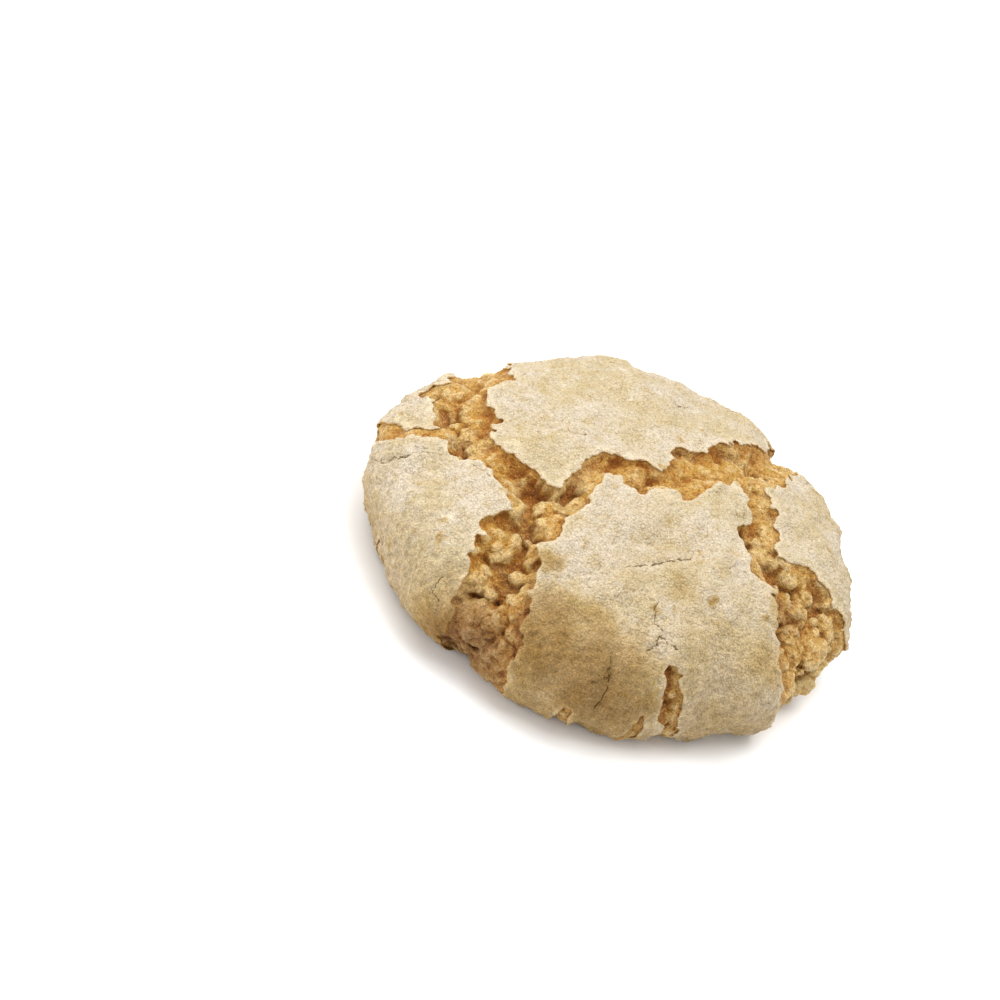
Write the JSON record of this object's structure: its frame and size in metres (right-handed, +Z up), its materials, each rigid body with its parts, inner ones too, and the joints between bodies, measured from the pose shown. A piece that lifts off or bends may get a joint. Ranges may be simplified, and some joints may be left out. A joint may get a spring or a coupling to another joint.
{
  "type": "oatmeal cookie",
  "caption": "Thick round oatmeal cookie: domed, with a bulging rim, a flat underside and a pale crust torn into ragged plates over pebbly crumb.",
  "frame": {"origin": "centre of the cookie's outline, at the level of its flat underside", "axes": "+Z up through the crown, the cookie's shortest way; +X to the right and -Y to the front as the picture shows it, with the outline a little longer along X"},
  "size_m": [0.0859, 0.0793, 0.0261],
  "materials": {
    "crust": null
  },
  "bodies": {
    "root": {"cookie": "crust"}
  },
  "joints": []
}
